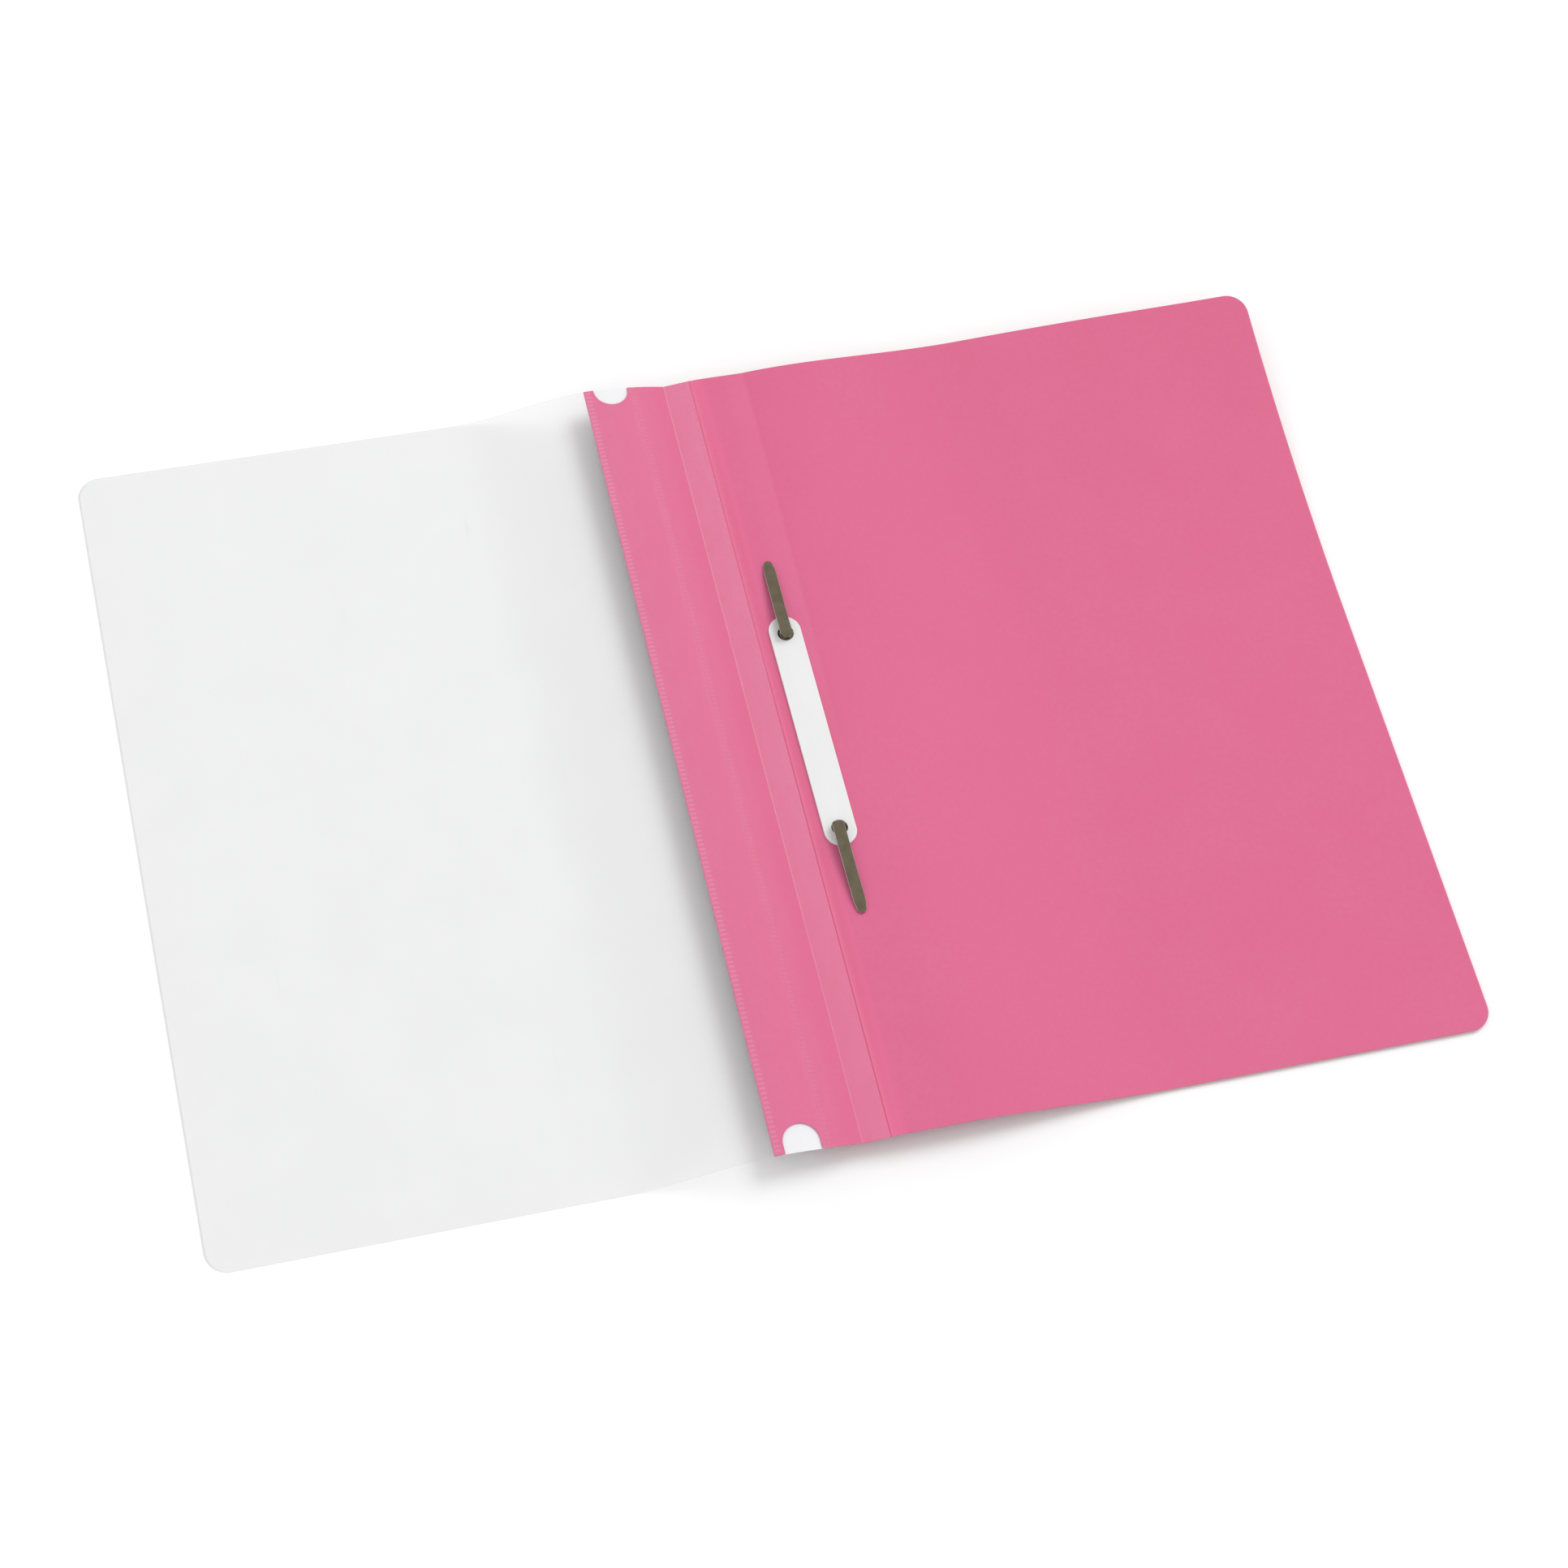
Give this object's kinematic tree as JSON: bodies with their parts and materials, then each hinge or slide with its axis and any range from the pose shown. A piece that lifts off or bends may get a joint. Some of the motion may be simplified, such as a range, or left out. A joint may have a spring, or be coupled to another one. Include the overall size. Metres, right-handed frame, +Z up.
{
  "type": "fastener folder",
  "caption": "A4 report file with a punched back cover, clear front sheet, label pocket and folding metal prongs under a clamping bar.",
  "frame": {"origin": "midway between the two spine creases at half height, on the surface that the open folder lies on", "axes": "+X across the back cover to its outer edge, +Y along the spine to the top of the folder, +Z up out of the inside"},
  "size_m": [0.45, 0.31, 0.0134],
  "materials": {
    "pink_plastic": "fine matte grain",
    "clear_plastic": "clear and glossy",
    "white_paper": "plain",
    "white_plastic": "satin",
    "bronzed_metal": "satin bronze lacquer"
  },
  "bodies": {
    "back": {"back_cover": "pink_plastic", "fastener_base": "bronzed_metal"},
    "spine": {"spine_strip": "pink_plastic"},
    "front": {"front_strip": "pink_plastic", "front_sheet": "clear_plastic"},
    "label": {"label_insert": "white_paper"},
    "bar": {"top_bar": "white_plastic"},
    "upper_prong": {"prong_top": "bronzed_metal"},
    "lower_prong": {"prong_bottom": "bronzed_metal"}
  },
  "joints": [
    {"name": "back_crease", "type": "hinge", "parent": "back", "child": "spine", "pos_m": [0.005, 0, 0.0076], "axis": [0, 1, 0], "range_deg": [-85, 90]},
    {"name": "front_crease", "type": "hinge", "parent": "spine", "child": "front", "pos_m": [-0.005, 0, 0.0062], "axis": [0, 1, 0], "range_deg": [-85, 90]},
    {"name": "upper_prong_fold", "type": "hinge", "parent": "back", "child": "upper_prong", "pos_m": [0.0149, 0.0385, 0.0133], "axis": [-1, 0, 0], "range_deg": [-96, 0]},
    {"name": "lower_prong_fold", "type": "hinge", "parent": "back", "child": "lower_prong", "pos_m": [0.0149, -0.0385, 0.0133], "axis": [1, 0, 0], "range_deg": [-96, 0]},
    {"name": "bar_lift", "type": "slide", "parent": "back", "child": "bar", "axis": [0, 0, 1], "range_m": [0, 0.002]},
    {"name": "label_pull", "type": "slide", "parent": "front", "child": "label", "axis": [0, 1, 0], "range_m": [0, 0.3]}
  ]
}
